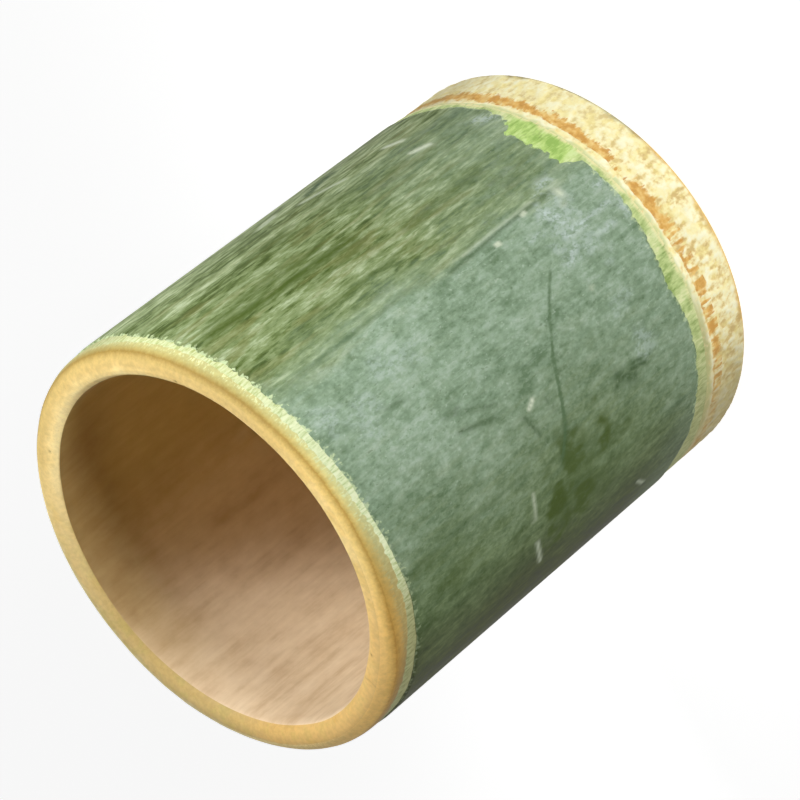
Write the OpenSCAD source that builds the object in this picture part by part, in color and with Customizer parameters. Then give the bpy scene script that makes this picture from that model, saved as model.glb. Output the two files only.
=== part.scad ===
// Bamboo cup cut from one length of green culm, standing on its foot.
// The node's cross wall is the floor, and the stub below it is the foot.
// Every piece is a ring or plate about the Z axis, with z = 0 under the foot.

/* [Culm] */
// Height from the foot to the top of the lip
cup_height = 100; // [70:1:140]
// Outside diameter over the green skin
culm_d = 79; // [60:1:110]
// Thickness of the green skin
skin_t = 0.25; // [0.15:0.05:0.6]
// Thickness of the pale bark under the skin
bark_t = 0.4; // [0.2:0.05:0.8]
// Thickness of the dense outer wood
fibre_t = 1.8; // [1:0.1:3]
// Thickness of the soft inner wood
wood_t = 3; // [2.6:0.1:6]
// Thickness of the lining of the hollow
lining_t = 0.4; // [0.2:0.05:0.8]

/* [Mouth] */
// Rounding on the outside of the lip
lip_outer_r = 3; // [1.5:0.1:4]
// Rounding on the inside of the lip, as far as the wall has room for it
lip_inner_r = 2.3; // [0.8:0.1:2.4]
// Narrowest flat ring left on top of the lip
lip_flat_w = 0.2; // [0.1:0.1:1]
// Distance from the top of the lip down to the green skin
skin_gap = 5; // [4.5:0.1:9]

/* [Node] */
// Height of the lower face of the node's wood
node_low = 6; // [4:0.1:8]
// Height of the node's wood
node_h = 6.6; // [5.5:0.1:9]
// Height of the bare bark between the node's wood and the green skin
bark_band = 3; // [1:0.1:6]
// Distance from the node's upper face down to the leaf scar
scar_drop = 2; // [1:0.1:2.4]
// Height of the leaf scar
scar_h = 2.8; // [1:0.1:3]
// Depth of the leaf scar into the node's wood
scar_t = 0.8; // [0.4:0.1:2]

/* [Floor] */
// Thickness of the floor at its edge
floor_t = 4.2; // [3:0.1:6]
// Distance from the node's upper face down to the floor's edge
floor_drop = 1; // [0.5:0.1:2]
// How far the floor dips in the middle
floor_dip = 1.4; // [0.5:0.1:2.5]
// Fillet between the floor and the wall above it
floor_fillet_r = 4; // [2:0.1:6]

/* [Foot] */
// Rounding on the outside of the foot
foot_outer_r = 2; // [0.8:0.1:3]
// Rounding on the inside of the foot
foot_inner_r = 1; // [0.4:0.1:1.5]

/* [Hidden] */
$fn = 128;

// Radii of the faces where the layers meet, from the outside in
culm_r = culm_d / 2;
bark_r = culm_r - skin_t;
fibre_r = bark_r - bark_t;
wood_r = fibre_r - fibre_t;
lining_r = wood_r - wood_t;
cavity_r = lining_r - lining_t;

// The lip's inner rounding, limited where the wall is too thin for both roundings and the flat
lip_room = bark_r - cavity_r - lip_outer_r - lip_flat_w;
lip_inner_fit_r = min(lip_inner_r, lip_room);

// Heights of the joints between the pieces
node_top = node_low + node_h;
skin_low = node_top + bark_band;
skin_top = cup_height - skin_gap;
scar_top = node_top - scar_drop;
scar_low = scar_top - scar_h;
floor_top = node_top - floor_drop;
floor_low = floor_top - floor_t;
fillet_top = floor_top + floor_fillet_r;

// The floor's two faces are caps of one wide sphere, which meet the fillet at flat_r
flat_r = cavity_r - floor_fillet_r;
cap_r = (flat_r * flat_r + floor_dip * floor_dip) / (2 * floor_dip);
cap_fn = 1440;

// Half section of a ring between two radii and two heights
module band(r_in, r_out, z_low, z_high) {
    translate([r_in, z_low])
        square([r_out - r_in, z_high - z_low]);
}

// What a rounding takes off a corner that points along dir, such as [1, 1]
module corner_waste(corner, radius, dir) {
    mirrored_x = dir[0] < 0 ? 1 : 0;
    mirrored_y = dir[1] < 0 ? 1 : 0;
    spare = 1;
    translate(corner)
        mirror([mirrored_x, 0])
            mirror([0, mirrored_y])
                difference() {
                    translate([-radius, -radius])
                        square(radius + spare);
                    translate([-radius, -radius])
                        circle(radius);
                }
}

// Half section of the sanded culm without its skin: rounded at the lip and the foot
module sanded_section() {
    difference() {
        band(cavity_r, bark_r, 0, cup_height);
        corner_waste([bark_r, cup_height], lip_outer_r, [1, 1]);
        corner_waste([cavity_r, cup_height], lip_inner_fit_r, [-1, 1]);
        corner_waste([bark_r, 0], foot_outer_r, [1, -1]);
        corner_waste([cavity_r, 0], foot_inner_r, [-1, -1]);
    }
}

// One layer of the sanded culm, turned about the Z axis
module layer(r_in, r_out, z_low, z_high) {
    rotate_extrude()
        intersection() {
            sanded_section();
            band(r_in, r_out, z_low, z_high);
        }
}

// Waxy green skin, left on between the two sanded ends
module green_skin() {
    color("darkseagreen")
        rotate_extrude()
            band(bark_r, culm_r, skin_low, skin_top);
}

// Pale green bark under the skin, bare at both ends of it
module under_bark() {
    color("palegreen")
        layer(fibre_r, bark_r, node_top, cup_height);
}

// Dense outer wood, bare on the outer shoulder of the lip
module outer_fibre_wall() {
    color("goldenrod")
        layer(wood_r, fibre_r, node_top, cup_height);
}

// Soft inner wood, bare on top of the lip
module inner_wall() {
    color("burlywood")
        layer(lining_r, wood_r, node_top, cup_height);
}

// Smooth lining of the hollow, from the floor's fillet to the lip
module cavity_lining() {
    color("tan")
        layer(cavity_r, lining_r, fillet_top, cup_height);
}

// Ring of wood at the node, shaved level with the bark and grooved for the leaf scar
module node_ring() {
    color("khaki")
        rotate_extrude()
            difference() {
                band(lining_r, bark_r, node_low, node_top);
                band(bark_r - scar_t, bark_r, scar_low, scar_top);
            }
}

// Orange ring where the leaf sheath grew, level with the node's wood
module leaf_scar() {
    color("peru")
        rotate_extrude()
            band(bark_r - scar_t, bark_r, scar_low, scar_top);
}

// Cross wall of the node: a dished floor with a fillet up the wall
module node_diaphragm() {
    color("wheat")
        rotate_extrude()
            difference() {
                union() {
                    band(0, lining_r, floor_low, floor_top);
                    band(flat_r, lining_r, floor_top, fillet_top);
                    intersection() {
                        band(0, flat_r, floor_low - floor_dip, floor_low);
                        translate([0, floor_low - floor_dip + cap_r])
                            circle(cap_r, $fn = cap_fn);
                    }
                }
                translate([flat_r, fillet_top])
                    circle(floor_fillet_r);
                translate([0, floor_top - floor_dip + cap_r])
                    circle(cap_r, $fn = cap_fn);
            }
}

// Stub of the next length of culm, which the cup stands on
module foot_wall() {
    color("lemonchiffon")
        layer(lining_r, bark_r, 0, node_low);
}

// Lining of the hollow under the floor
module foot_lining() {
    color("rosybrown")
        layer(cavity_r, lining_r, 0, floor_low);
}

green_skin();
under_bark();
outer_fibre_wall();
inner_wall();
cavity_lining();
node_ring();
leaf_scar();
node_diaphragm();
foot_wall();
foot_lining();
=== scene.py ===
"""Looks of a bamboo cup: the grown layers of one length of culm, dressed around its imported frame."""

import bmesh
import bpy
import numpy as np
from mathutils import Matrix, Vector


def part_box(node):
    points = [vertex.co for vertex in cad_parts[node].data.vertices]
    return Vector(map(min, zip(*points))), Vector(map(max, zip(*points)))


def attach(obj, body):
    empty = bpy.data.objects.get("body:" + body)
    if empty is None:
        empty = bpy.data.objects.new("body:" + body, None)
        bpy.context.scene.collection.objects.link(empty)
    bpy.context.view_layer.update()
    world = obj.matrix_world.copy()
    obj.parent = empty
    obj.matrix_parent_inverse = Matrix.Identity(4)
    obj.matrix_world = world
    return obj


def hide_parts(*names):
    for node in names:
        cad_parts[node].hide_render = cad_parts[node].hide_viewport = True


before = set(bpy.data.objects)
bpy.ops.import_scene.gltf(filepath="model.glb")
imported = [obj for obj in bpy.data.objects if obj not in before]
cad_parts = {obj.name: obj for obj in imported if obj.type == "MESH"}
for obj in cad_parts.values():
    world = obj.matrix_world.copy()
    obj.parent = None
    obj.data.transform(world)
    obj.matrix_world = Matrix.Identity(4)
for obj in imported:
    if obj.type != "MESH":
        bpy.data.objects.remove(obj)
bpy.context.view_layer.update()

# Units: the script works in millimetres and degrees, and MM turns millimetres into Blender's metres
MM = 0.001


# Sizes from the frame, where places nearer than this count as one
SAME_PLACE = 0.001


def heights_of(node):
    """Lowest and highest place of a CAD node."""
    low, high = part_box(node)
    return (low / MM).z, (high / MM).z


def corners_of(node):
    """Corners of a CAD node, and their distances from the axis."""
    corners = np.array([v.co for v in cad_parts[node].data.vertices]) / MM
    return corners, np.hypot(corners[:, 0], corners[:, 1])


def radii_at(node, height=None):
    """Smallest and largest distance from the axis of a CAD node's corners, at one height or at all."""
    corners, radii = corners_of(node)
    if height is not None:
        radii = radii[np.abs(corners[:, 2] - height) < SAME_PLACE]
    return float(radii.min()), float(radii.max())


def top_on_axis(node):
    """Highest corner of a CAD node on the axis."""
    corners, radii = corners_of(node)
    return float(corners[radii < SAME_PLACE, 2].max())


CULM_R = radii_at("green_skin")[1]
BARK_R = radii_at("under_bark")[1]
FIBRE_R = radii_at("outer_fibre_wall")[1]
WOOD_R = radii_at("inner_wall")[1]
CAVITY_R, LINING_R = radii_at("cavity_lining")

LIP_Z = heights_of("inner_wall")[1]
NODE_LOW, NODE_TOP = heights_of("node_ring")
SCAR_LOW, SCAR_TOP = heights_of("leaf_scar")
SCAR_R = radii_at("leaf_scar")[0]
FLOOR_LOW = heights_of("foot_lining")[1]
dip_low, FILLET_TOP = heights_of("node_diaphragm")
FLOOR_DIP = FLOOR_LOW - dip_low
FLOOR_TOP = top_on_axis("node_diaphragm") + FLOOR_DIP
FILLET_R = FILLET_TOP - FLOOR_TOP

# Roundings, from the flat rings that they leave on the lip and the foot
lip_flat = radii_at("inner_wall", LIP_Z)
foot_flat = radii_at("foot_wall", 0)
LIP_INNER_R = lip_flat[0] - CAVITY_R
LIP_OUTER_R = BARK_R - lip_flat[1]
FOOT_INNER_R = foot_flat[0] - CAVITY_R
FOOT_OUTER_R = BARK_R - foot_flat[1]

# The unrolled wall: one column for each step round the culm, with 0 at the front and plus towards +X
SEGMENTS = 1080
TURN = np.linspace(-180, 180, SEGMENTS, endpoint=False)


def turns_of(grid):
    """The turn at each column, for every row of a grid."""
    return np.broadcast_to(TURN, grid.shape)


# Curves and noise over the unrolled wall
def smooth(x):
    return x * x * (3 - 2 * x)


def straight(x):
    return x


def step(x, low, high):
    """0 below low, 1 above high and a smooth rise between them."""
    return smooth(np.clip((x - low) / (high - low), 0, 1))


def window(x, low, rise, fall, high):
    """0 outside low and high, 1 from rise to fall, and smooth between them."""
    return step(x, low, rise) * (1 - step(x, fall, high))


def lifted(noise):
    """Noise from -1 to 1 as noise from 0 to 1."""
    return (1 + noise) / 2


def wall_noise(turn, rise, columns, row_height, seed, blend=smooth):
    """Noise from -1 to 1, with whole cells round the culm and cells row_height high."""
    rows = int(LIP_Z / row_height) + 3
    lattice = np.random.default_rng(seed).uniform(-1, 1, (rows, columns))
    across = (turn + 180) / 360 * columns
    along = np.clip(rise, 0, LIP_Z) / row_height
    col = np.floor(across).astype(int)
    row = np.floor(along).astype(int)
    u = blend(across - col)
    v = blend(along - row)
    here = col % columns
    beside = (col + 1) % columns
    low = lattice[row, here] * (1 - u) + lattice[row, beside] * u
    high = lattice[row + 1, here] * (1 - u) + lattice[row + 1, beside] * u
    return low * (1 - v) + high * v


def round_noise(turn, columns, seed, blend=smooth):
    """Noise from -1 to 1 that only changes round the culm."""
    return wall_noise(turn, np.zeros_like(turn), columns, LIP_Z, seed, blend)


def through(turn, points):
    """A value round the culm that runs through given (turn, value) points."""
    places, heights = zip(*points)
    return np.interp(turn, places, heights, period=360)


def teeth(turn, seed):
    """Torn fibres from 0 to about 1, as a ragged edge has them: single thin ones and small clumps."""
    thin = np.maximum(0, round_noise(turn, 360, seed, straight))
    clumps = np.maximum(0, round_noise(turn, 130, seed + 1, straight))
    return 0.75 * thin + 0.4 * clumps


# Edges that the skin, the layers on the lip and the leaf scar share with their neighbours
SKIN_TOP_EDGE = [
    (-180, 95.2), (-130, 95.6), (-90, 93.3), (-75, 92.9), (-60, 93.3), (-40, 93.6), (-25, 94.9), (0, 95.9),
    (20, 96.1), (32, 96.3), (45, 96.0), (60, 96.2), (75, 94.9), (90, 94.9), (140, 95.8),
]
SKIN_TOP_TEETH = [
    (-180, 0.6), (-100, 0.3), (-45, 0.15), (-25, 0.2), (8, 0.3), (18, 0.6), (40, 0.8), (90, 0.7),
]
SKIN_LOW_EDGE = [
    (-180, 15.2), (-140, 14.4), (-100, 16.6), (-75, 17.4), (-60, 15.7), (-45, 15.0), (-35, 14.8), (-20, 16.4),
    (-8, 15.6), (0, 14.2), (12, 13.5), (19, 13.9), (22, 16.8), (38, 17.8), (42, 14.6), (50, 13.4), (60, 14.0),
    (72, 15.2), (80, 15.6), (130, 16.2),
]
SKIN_LOW_TEETH = [(-180, 0.6), (-50, 0.5), (-8, 0.5), (18, 0.7), (22, 1.2), (40, 1.2), (46, 0.7), (90, 0.6)]
BARK_END = [
    (-180, 97.2), (-120, 96.6), (-75, 95.9), (-40, 95.3), (-20, 95.9), (-10, 96.8), (0, 97.3), (30, 97.4),
    (45, 96.9), (60, 97.3), (90, 97.0), (140, 97.2),
]
SCAR_TOP_EDGE = [
    (-180, 10.8), (-90, 10.3), (-60, 10.3), (-40, 10.5), (-20, 10.8), (-8, 11.2), (5, 11.1), (16, 10.3),
    (25, 10.5), (40, 10.9), (55, 11.4), (75, 11.6), (120, 11.2),
]


def ragged(points, size, swing, seed):
    """A height round the culm through given points, swung a little and with torn fibres of a size."""
    return through(TURN, points) + swing * round_noise(TURN, 60, seed) + size * teeth(TURN, seed + 1)


skin_top_edge = ragged(SKIN_TOP_EDGE, -through(TURN, SKIN_TOP_TEETH), 0.2, 11)
skin_low_edge = ragged(SKIN_LOW_EDGE, through(TURN, SKIN_LOW_TEETH), 0.25, 14)
bark_end_height = ragged(BARK_END, 0.6, 0.15, 21)
scar_top_edge = ragged(SCAR_TOP_EDGE, 0.25, 0.15, 17)
scar_low_edge = SCAR_LOW + 0.4 * round_noise(TURN, 80, 18)


# The sanded surface over the lip, as a path from the bark's face over the top and down inside
LIP_REACH = 12
PATH_STEPS = 48

# The lip's inner edge where it was sanded least: a wide crown that ends in a crisp edge, and how near the
# lip comes to that, as (turn, share) points
CROWN_R = 6
CROWN_TILT = 30
CRISP_R = 0.35
CRISP_LIP = [
    (-180, 0.5), (-150, 0.35), (-120, 0.25), (-60, 0.15), (-40, 0.0), (60, 0.0), (75, 0.3), (90, 0.6),
    (105, 0.9), (120, 1.0), (160, 1.0),
]

# The inner edge opposite: a flat top and a steep bevel that starts between two radii, how far out it starts
# and how near the lip comes to it
BEVEL_STARTS = (34.4, 35.65)
BEVEL_R = 0.5
BEVEL_TILT = 64
BEVEL_OUT = [(-180, 1.0), (-20, 1.0), (0, 0.58), (20, 0.45), (40, 0.5), (60, 0.38), (75, 0.36), (90, 0.4)]
BEVEL_LIP = [
    (-180, 0.0), (-62, 0.0), (-40, 0.35), (-22, 0.9), (-10, 1.0), (60, 1.0), (75, 0.7), (90, 0.3), (105, 0.0),
]


def arc(centre, radius, start, end):
    """Points of a round stretch, from one angle to another."""
    angle = np.radians(np.linspace(start, end, PATH_STEPS))
    return np.stack([centre[0] + radius * np.cos(angle), centre[1] + radius * np.sin(angle)], 1)


def off(centre, length, angle):
    """The point at a length and an angle from another."""
    return centre[0] + length * np.cos(np.radians(angle)), centre[1] + length * np.sin(np.radians(angle))


class Path:
    """A line of (radius, height) points, read by the length run along it."""

    def __init__(self, *stretches):
        self.points = np.concatenate([np.atleast_2d(s) for s in stretches]).astype(float)
        steps = np.diff(self.points, axis=0)
        self.run = np.concatenate([[0], np.cumsum(np.hypot(steps[:, 0], steps[:, 1]))])

    def place(self, run):
        """Radius and height after a run."""
        return [np.interp(run, self.run, self.points[:, axis]) for axis in (0, 1)]

    def at(self, run):
        """Radius and height after a run, and the way out of the surface there."""
        ahead = 0.02
        r, z = self.place(run)
        r_before, z_before = self.place(run - ahead)
        r_after, z_after = self.place(run + ahead)
        dr = r_after - r_before
        dz = z_after - z_before
        size = np.maximum(np.hypot(dr, dz), 1e-9)
        return r, z, dz / size, -dr / size


def lip_along(*stretches):
    """A path over the lip: up the bark's face and its outer rounding, then as given, and down the hollow."""
    return Path(
        (BARK_R, LIP_Z - LIP_REACH),
        arc((BARK_R - LIP_OUTER_R, LIP_Z - LIP_OUTER_R), LIP_OUTER_R, 0, 90),
        *stretches,
        (CAVITY_R, LIP_Z - LIP_REACH),
    )


lip_path = lip_along(arc((CAVITY_R + LIP_INNER_R, LIP_Z - LIP_INNER_R), LIP_INNER_R, 90, 180))
crown_centre = (BARK_R - LIP_OUTER_R, LIP_Z - CROWN_R)
crisp_centre = off(crown_centre, CROWN_R - CRISP_R, 90 + CROWN_TILT)
crisp_path = lip_along(
    arc(crown_centre, CROWN_R, 90, 90 + CROWN_TILT),
    arc(crisp_centre, CRISP_R, 90 + CROWN_TILT, 180),
)


def bevel_path(start):
    """The lip's path with a steep bevel that starts at a radius."""
    centre = (start, LIP_Z - BEVEL_R)
    top = off(centre, BEVEL_R, 90 + BEVEL_TILT)
    foot = (CAVITY_R, top[1] - (top[0] - CAVITY_R) * np.tan(np.radians(BEVEL_TILT)))
    return lip_along(arc(centre, BEVEL_R, 90, 90 + BEVEL_TILT), foot)


bevel_in, bevel_out = [bevel_path(start) for start in BEVEL_STARTS]
foot_path = Path(
    (CAVITY_R, FLOOR_LOW),
    arc((CAVITY_R + FOOT_INNER_R, FOOT_INNER_R), FOOT_INNER_R, 180, 270),
    arc((BARK_R - FOOT_OUTER_R, FOOT_OUTER_R), FOOT_OUTER_R, -90, 0),
    (BARK_R, NODE_LOW),
)


def run_at_radius(path, radius, low_run, high_run):
    """The run between two others where a path comes to a radius."""
    runs = np.linspace(low_run, high_run, 400)
    r = path.at(runs)[0]
    return float(runs[np.argmin(np.abs(r - radius))])


lip_shoulder = LIP_REACH - LIP_OUTER_R
lip_top_run = lip_shoulder + LIP_OUTER_R * np.pi / 2
lip_inner_run = lip_path.run[-1] - (LIP_REACH - LIP_INNER_R)
fibre_end = run_at_radius(lip_path, WOOD_R, lip_shoulder, lip_top_run)
wood_end = run_at_radius(lip_path, LINING_R, lip_top_run, lip_inner_run)
foot_lining_end = run_at_radius(foot_path, LINING_R, 0, foot_path.run[-1] - NODE_LOW)

rising = lip_path.run <= lip_top_run
bark_end_edge = np.interp(bark_end_height, lip_path.points[rising, 1], lip_path.run[rising])
fibre_end_edge = fibre_end + 0.18 * round_noise(TURN, 24, 23)
wood_end_edge = wood_end + 0.3 + 0.4 * through(TURN, CRISP_LIP) + 0.1 * round_noise(TURN, 30, 24)

# Small faults in the lip: (turn, radius, size, depth) of pits, and the ends of a hairline crack
LIP_PITS = [
    (45.1, 35.1, 0.28, 0.18), (42.5, 34.7, 0.2, 0.12), (27.3, 37.6, 0.3, 0.06), (-55.5, 35.2, 0.25, 0.15),
    (-45.3, 38.5, 0.2, 0.12), (-36.3, 36.4, 0.25, 0.06), (120, 34.8, 0.25, 0.12), (172, 36.6, 0.2, 0.1),
]
LIP_CRACK = [(-66.3, 34.1), (-64.8, 35.6), (-65.8, 37.3), (-67.3, 38.4)]
CRACK_WIDTH = 0.13
CRACK_DEPTH = 0.06
DARK_FAULT = 0.2


def line_distance(x, y, points):
    """Distance of places on a flat sheet from a line through points."""
    nearest = np.full(np.broadcast(x, y).shape, np.inf)
    for (ax, ay), (bx, by) in zip(points[:-1], points[1:]):
        dx = bx - ax
        dy = by - ay
        share = np.clip(((x - ax) * dx + (y - ay) * dy) / (dx * dx + dy * dy), 0, 1)
        nearest = np.minimum(nearest, np.hypot(x - ax - share * dx, y - ay - share * dy))
    return nearest


def lip_faults(turn, r):
    """How deep the pits and the crack go, at places on the lip."""
    depth = np.zeros(np.broadcast(turn, r).shape)
    for pit_turn, pit_r, size, deep in LIP_PITS:
        aside = np.radians(turn - pit_turn) * r
        depth = np.maximum(depth, deep * np.exp(-((aside / size) ** 2) - ((r - pit_r) / size) ** 2))
    crack = [(np.radians(t) * WOOD_R, radius) for t, radius in LIP_CRACK]
    gap = line_distance(np.radians(turn) * WOOD_R, r, crack)
    return np.maximum(depth, CRACK_DEPTH * np.exp(-((gap / CRACK_WIDTH) ** 2)))


def stretched(path, run):
    """Places on a path that leaves the lip's own past its top, with the rest of the run stretched to fit."""
    longer = (path.run[-1] - lip_top_run) / (lip_path.run[-1] - lip_top_run)
    return np.array(path.at(np.where(run > lip_top_run, lip_top_run + (run - lip_top_run) * longer, run)))


def lip_section(run, turn):
    """Places on the smooth lip and the way out of it, with an inner edge that changes round the culm."""
    crisp = through(turn, CRISP_LIP)
    bevel = through(turn, BEVEL_LIP)
    even = (1 - crisp - bevel) * np.array(lip_path.at(run))
    out = through(turn, BEVEL_OUT)
    bevelled = (1 - out) * stretched(bevel_in, run) + out * stretched(bevel_out, run)
    return even + crisp * stretched(crisp_path, run) + bevel * bevelled


def lip_surface(run, turn):
    """Places on the lip as it was sanded by hand: a little uneven, with pits and a crack."""
    r, z, out_r, out_z = lip_section(run, turn)
    rounded = window(run, lip_shoulder - 1, lip_shoulder + 1, lip_inner_run - 1, lip_inner_run + 1)
    uneven = 0.13 * lifted(round_noise(turn, 14, 31)) + 0.05 * lifted(wall_noise(turn, run * 2, 90, 2, 32))
    depth = rounded * (uneven + lip_faults(turn, r))
    return r - out_r * depth, z - out_z * depth


# Meshes turned about the axis
UV_MAP = "OFBake"
UV_EDGE = 0.02
HIDDEN_SHARE = 0.05
SHARP_ANGLE = 38


def section_run(r, z, seen):
    """The length run along a section at each row, with hidden rows squeezed."""
    mean_r = r.mean(1)
    mean_z = z.mean(1)
    steps = np.hypot(np.roll(mean_r, -1) - mean_r, np.roll(mean_z, -1) - mean_z)
    weights = np.where(np.arange(len(r)) < seen - 1, 1, HIDDEN_SHARE)
    return np.concatenate([[0], np.cumsum(steps * weights)])


def turned_piece(name, r, z, seen, masks=None, disc=False):
    """A mesh from a section's rows, going counter-clockwise in radius and height, at each column's turn.

    The first rows, seen of them, show. A disc's section starts and ends on the axis; a ring's closes.
    """
    rows, columns = r.shape
    angle = np.radians(np.linspace(-180, 180, columns, endpoint=False))
    corners = np.stack([r * np.sin(angle), -r * np.cos(angle), z], -1).reshape(-1, 3) * MM
    index = np.arange(rows * columns).reshape(rows, columns)
    beside = np.roll(index, -1, 1)
    faces = np.stack([index, beside, np.roll(beside, -1, 0), np.roll(index, -1, 0)], -1)
    used_rows = rows - 1 if disc else rows
    faces = faces[:used_rows].reshape(-1, 4)

    mesh = bpy.data.meshes.new(name)
    mesh.from_pydata(corners.tolist(), [], faces.tolist())
    for mask, values in (masks or {}).items():
        layer = mesh.attributes.new(mask, "FLOAT", "POINT")
        layer.data.foreach_set("value", np.broadcast_to(values, r.shape).astype(np.float32).ravel())

    run = section_run(r, z, seen)
    strips = max(1, round(np.sqrt(2 * np.pi * r.max() / run[-1])))
    heights = UV_EDGE + (1 - 2 * UV_EDGE) * run / run[-1]
    column = np.arange(columns)
    strip = column * strips // columns
    left = column * strips / columns - strip
    right = left + strips / columns
    low = heights[:used_rows, None]
    high = heights[1:used_rows + 1, None]
    u = np.stack(np.broadcast_arrays(left, right, right, left), -1)
    u = np.broadcast_to(u, (used_rows, columns, 4))
    v = np.stack(np.broadcast_arrays(low, low, high, high), -1)
    v = (v + strip[None, :, None]) / strips
    layer = mesh.uv_layers.new(name=UV_MAP)
    layer.data.foreach_set("uv", np.stack([u, v], -1).astype(np.float32).ravel())

    if disc:
        cut = bmesh.new()
        cut.from_mesh(mesh)
        bmesh.ops.remove_doubles(cut, verts=cut.verts, dist=1e-7)
        cut.to_mesh(mesh)
        cut.free()
    mesh.shade_smooth()
    mesh.set_sharp_from_angle(angle=np.radians(SHARP_ANGLE))
    mesh.update()
    piece = bpy.data.objects.new(name, mesh)
    bpy.context.scene.collection.objects.link(piece)
    return piece


def dress(piece, node, material):
    """Gives a piece its material and its place in the frame, where it stands for one CAD node."""
    piece.data.materials.append(material)
    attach(piece, "root")
    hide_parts(node)


def rows_of(*stacked):
    """Rows of a section, each a number or one value for each column, as one grid."""
    return np.stack([np.broadcast_to(row, TURN.shape) for row in stacked])


def spread(start, end, count):
    """Rows from one height or run to another, each end a number or one value for each column."""
    share = np.linspace(0, 1, count)[:, None]
    return np.broadcast_to(start, TURN.shape) * (1 - share) + np.broadcast_to(end, TURN.shape) * share


# Marks on the skin, as (turn, height) places
def unrolled(turn, z):
    """A place on the skin laid out flat."""
    return np.radians(turn) * CULM_R, z


# How ragged the border of a blot is
FRAY = 0.65

LONG_SCRATCH = [(-38, 53.0), (-32, 50.6), (-22, 48.6), (-15, 46.9), (-8, 43.6), (-3, 40.6), (2.6, 36.4)]
DARK_STROKES = [
    ([(-38, 53.2), (-34, 51.4), (-30, 50.0)], 0.9, 0.55),
    ([(-28.4, 56.3), (-22, 58.3)], 0.45, 0.7),
    ([(-26, 51.0), (-21.5, 52.3)], 0.5, 0.5),
    ([(16.8, 52), (17.6, 38), (17.8, 25)], 0.45, 0.65),
    ([(19.5, 94), (19.8, 60)], 0.5, 0.35),
    ([(-34.5, 94), (-34, 62)], 0.5, 0.35),
    ([(-30.4, 31.8), (-31.4, 28.1)], 0.55, 0.9),
    ([(-29.6, 35.3), (-32.5, 31.6)], 1.3, 0.85),
    ([(-32.0, 36.5), (-30.6, 35.3)], 0.5, 0.9),
    ([(-29.2, 31.5), (-29.8, 28.6)], 0.5, 0.8),
    ([(25.8, 29.3), (25.6, 25.8)], 0.8, 0.5),
    ([(-9.7, 72.4), (-9.6, 69.3)], 0.6, 0.5),
    ([(70.8, 46), (73.2, 42.6), (74, 38)], 1.3, 1.0),
    ([(-9.4, 72), (-14.8, 62.5)], 0.5, 0.6),
    ([(-14.5, 71.5), (-17.3, 63.8)], 0.5, 0.65),
    ([(-22.2, 58), (-27.4, 56.6)], 0.45, 0.8),
    ([(-33.4, 78.4), (-33.9, 77.4)], 0.6, 0.9),
    ([(0.6, 81.4), (-0.4, 77.2)], 0.45, 0.5),
]
STREAK_STROKES = [
    ([(43.8, 92), (43.2, 86), (42.2, 72), (41.2, 58)], 1.1, 0.95),
    ([(46.5, 90), (46, 74), (45.5, 62)], 0.8, 0.6),
    ([(60, 72), (60.5, 58)], 0.8, 0.5),
    ([(57, 52), (56, 40)], 0.8, 0.5),
    ([(70, 74), (70.5, 60)], 0.8, 0.6),
    ([(37, 70), (37.4, 58)], 0.6, 0.45),
    ([(47.5, 82), (48, 66)], 0.6, 0.5),
    ([(28.5, 84), (29, 56)], 0.6, 0.4),
    ([(33.5, 50), (34, 30)], 0.9, 0.45),
    ([(52, 48), (52.5, 34)], 1.0, 0.45),
]
RUB_BLOTS = [
    ((-52.0, 54.8), 7.6, 3.8, 0.95), ((-52.5, 48.0), 6.4, 3.6, 0.9), ((-41.0, 50.4), 9.0, 3.2, 0.8),
    ((-40.2, 41.2), 4.6, 3.0, 0.85), ((-46, 48.5), 15, 9, 0.4), ((-36, 90), 3, 6, 0.3),
    ((58, 64), 3, 5, 0.35), ((-44, 82), 5, 6, 0.3),
]
PALE_STROKES = [
    ([(-64, 59.4), (-55.5, 61.2)], 0.45, 0.65),
    ([(-48, 61.9), (-40.5, 61.5)], 0.4, 0.5),
    ([(18.6, 22.5), (15.8, 23.2)], 0.5, 0.95),
    ([(15.4, 23.5), (12.8, 24.2)], 0.5, 1.0),
    ([(-70, 28.5), (-66.5, 31)], 0.4, 0.5),
    ([(18.2, 48), (18.6, 28.5)], 0.3, 0.35),
    ([(65, 29.4), (62.2, 27.2)], 0.7, 0.95),
    ([(54, 30.8), (52.4, 27.6)], 0.65, 1.0),
    ([(68.4, 49.5), (66, 45), (63.8, 41.6)], 0.6, 0.6),
    ([(-21.0, 56.3), (-19.6, 54.8)], 0.42, 1.0),
]
PALE_BLOTS = [
    ((15.2, 41.0), 0.8, 0.7, 0.85), ((17.5, 32), 0.8, 0.7, 0.8), ((-7.7, 31.7), 1.2, 1.0, 0.4),
    ((73, 56), 2, 3, 0.5),
]
BLOOM_BLOTS = [
    ((11, 27.5), 6.5, 3.8, 0.5), ((16, 24), 5, 3.0, 0.4), ((3, 32), 4.5, 2.6, 0.4), ((0, 25), 5, 3, 0.4),
    ((-14, 27), 4, 3, 0.3), ((-26, 27), 5, 3, 0.35), ((6, 91), 4, 3, 0.35), ((9, 75), 6, 6, 0.3),
    ((3, 85), 5, 5, 0.3),
]
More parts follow.
